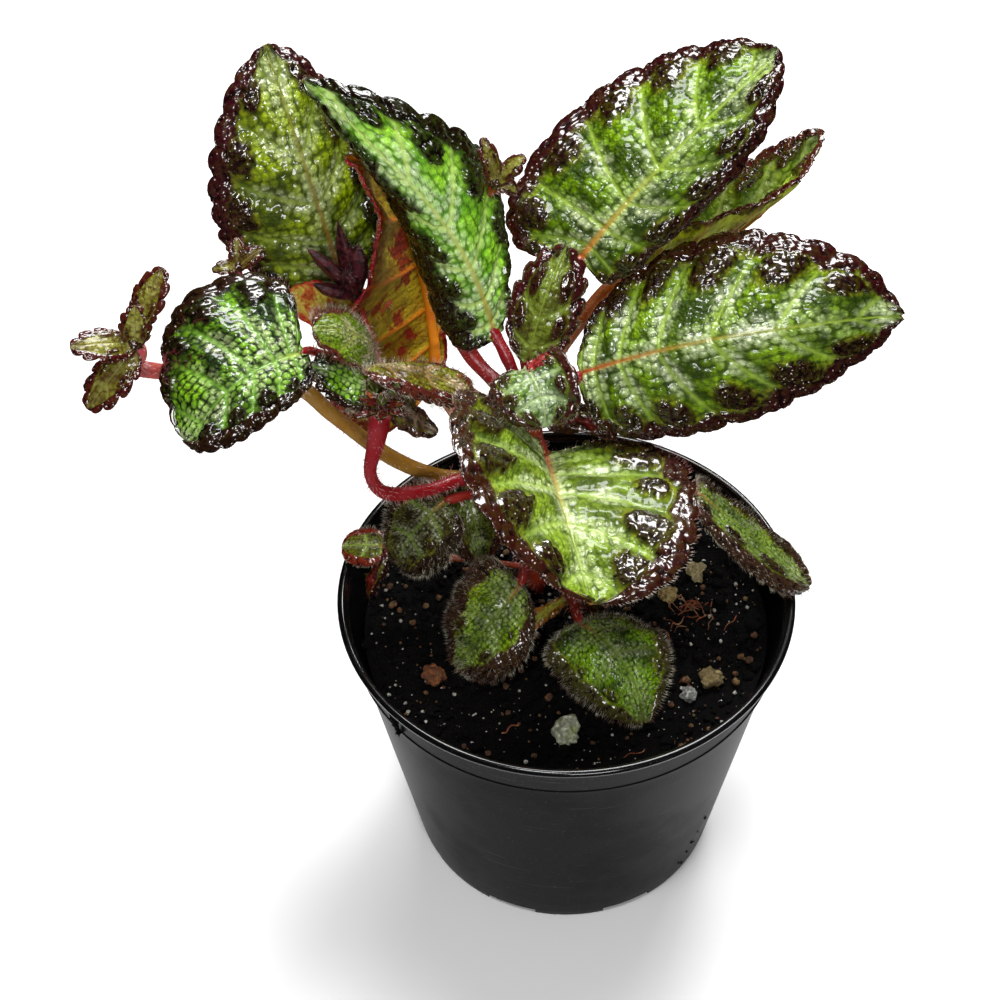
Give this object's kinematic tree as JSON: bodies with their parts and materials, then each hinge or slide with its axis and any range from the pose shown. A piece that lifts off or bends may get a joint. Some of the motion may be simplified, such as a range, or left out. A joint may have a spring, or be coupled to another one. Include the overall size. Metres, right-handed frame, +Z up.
{
  "type": "potted flame violet",
  "caption": "Flame violet with net-veined bronze and green leaves, hairy red stems and runners, standing in soil in a tapered black nursery pot.",
  "frame": {"origin": "middle of the pot's flat base", "axes": "+Z up along the pot's axis, +X to the right and -Y towards the viewer as the plant is seen from its front"},
  "size_m": [0.2009, 0.1427, 0.2188],
  "materials": {
    "pot_plastic": "satin black, moulded",
    "soil": "moist and crumbly",
    "stone": "rough",
    "red_stem": "satin, with short hairs",
    "tan_stem": "satin, with short hairs",
    "leaf": "glossy, blistered, with dark veins and margin",
    "leaf_underside": "satin, with dark net veins",
    "hairy_leaf": "hairy",
    "young_leaf": "hairy",
    "dark_leaf": "glossy, dark",
    "dry_leaf": "dry and crumpled"
  },
  "bodies": {
    "root": {"pot": "pot_plastic", "soil": "soil", "stone_white": "stone", "stone_grey": "stone", "stone_cream": "stone", "stone_ochre": "stone", "stone_tan": "stone", "stone_brown": "stone", "stems": "red_stem", "runner": "tan_stem", "plantlet_far_left": "young_leaf", "plantlet_shoot_left": "young_leaf", "plantlet_shoot_back": "young_leaf", "calyx": "dark_leaf", "leaf_back_left": "leaf", "leaf_upper_left": "leaf", "leaf_folded_left": "leaf_underside", "leaf_upper_right": "leaf", "leaf_far_right": "leaf", "leaf_right": "leaf", "leaf_front": "leaf", "leaf_front_left": "leaf", "leaf_heart_upright": "leaf", "leaf_heart_curled": "leaf", "leaf_hairy_mid": "hairy_leaf", "leaf_hairy_top": "hairy_leaf", "leaf_back_small": "leaf_underside", "leaf_low_right": "hairy_leaf", "leaf_low_front_left": "hairy_leaf", "leaf_low_front": "hairy_leaf", "leaf_low_left": "hairy_leaf", "leaf_low_mid": "hairy_leaf", "leaf_tiny_left": "hairy_leaf", "leaf_withered": "dry_leaf", "leaf_young_dark": "dark_leaf", "leaf_curled_strip": "dark_leaf", "bract_dry": "dry_leaf", "leaf_small_red": "dark_leaf"}
  },
  "joints": []
}
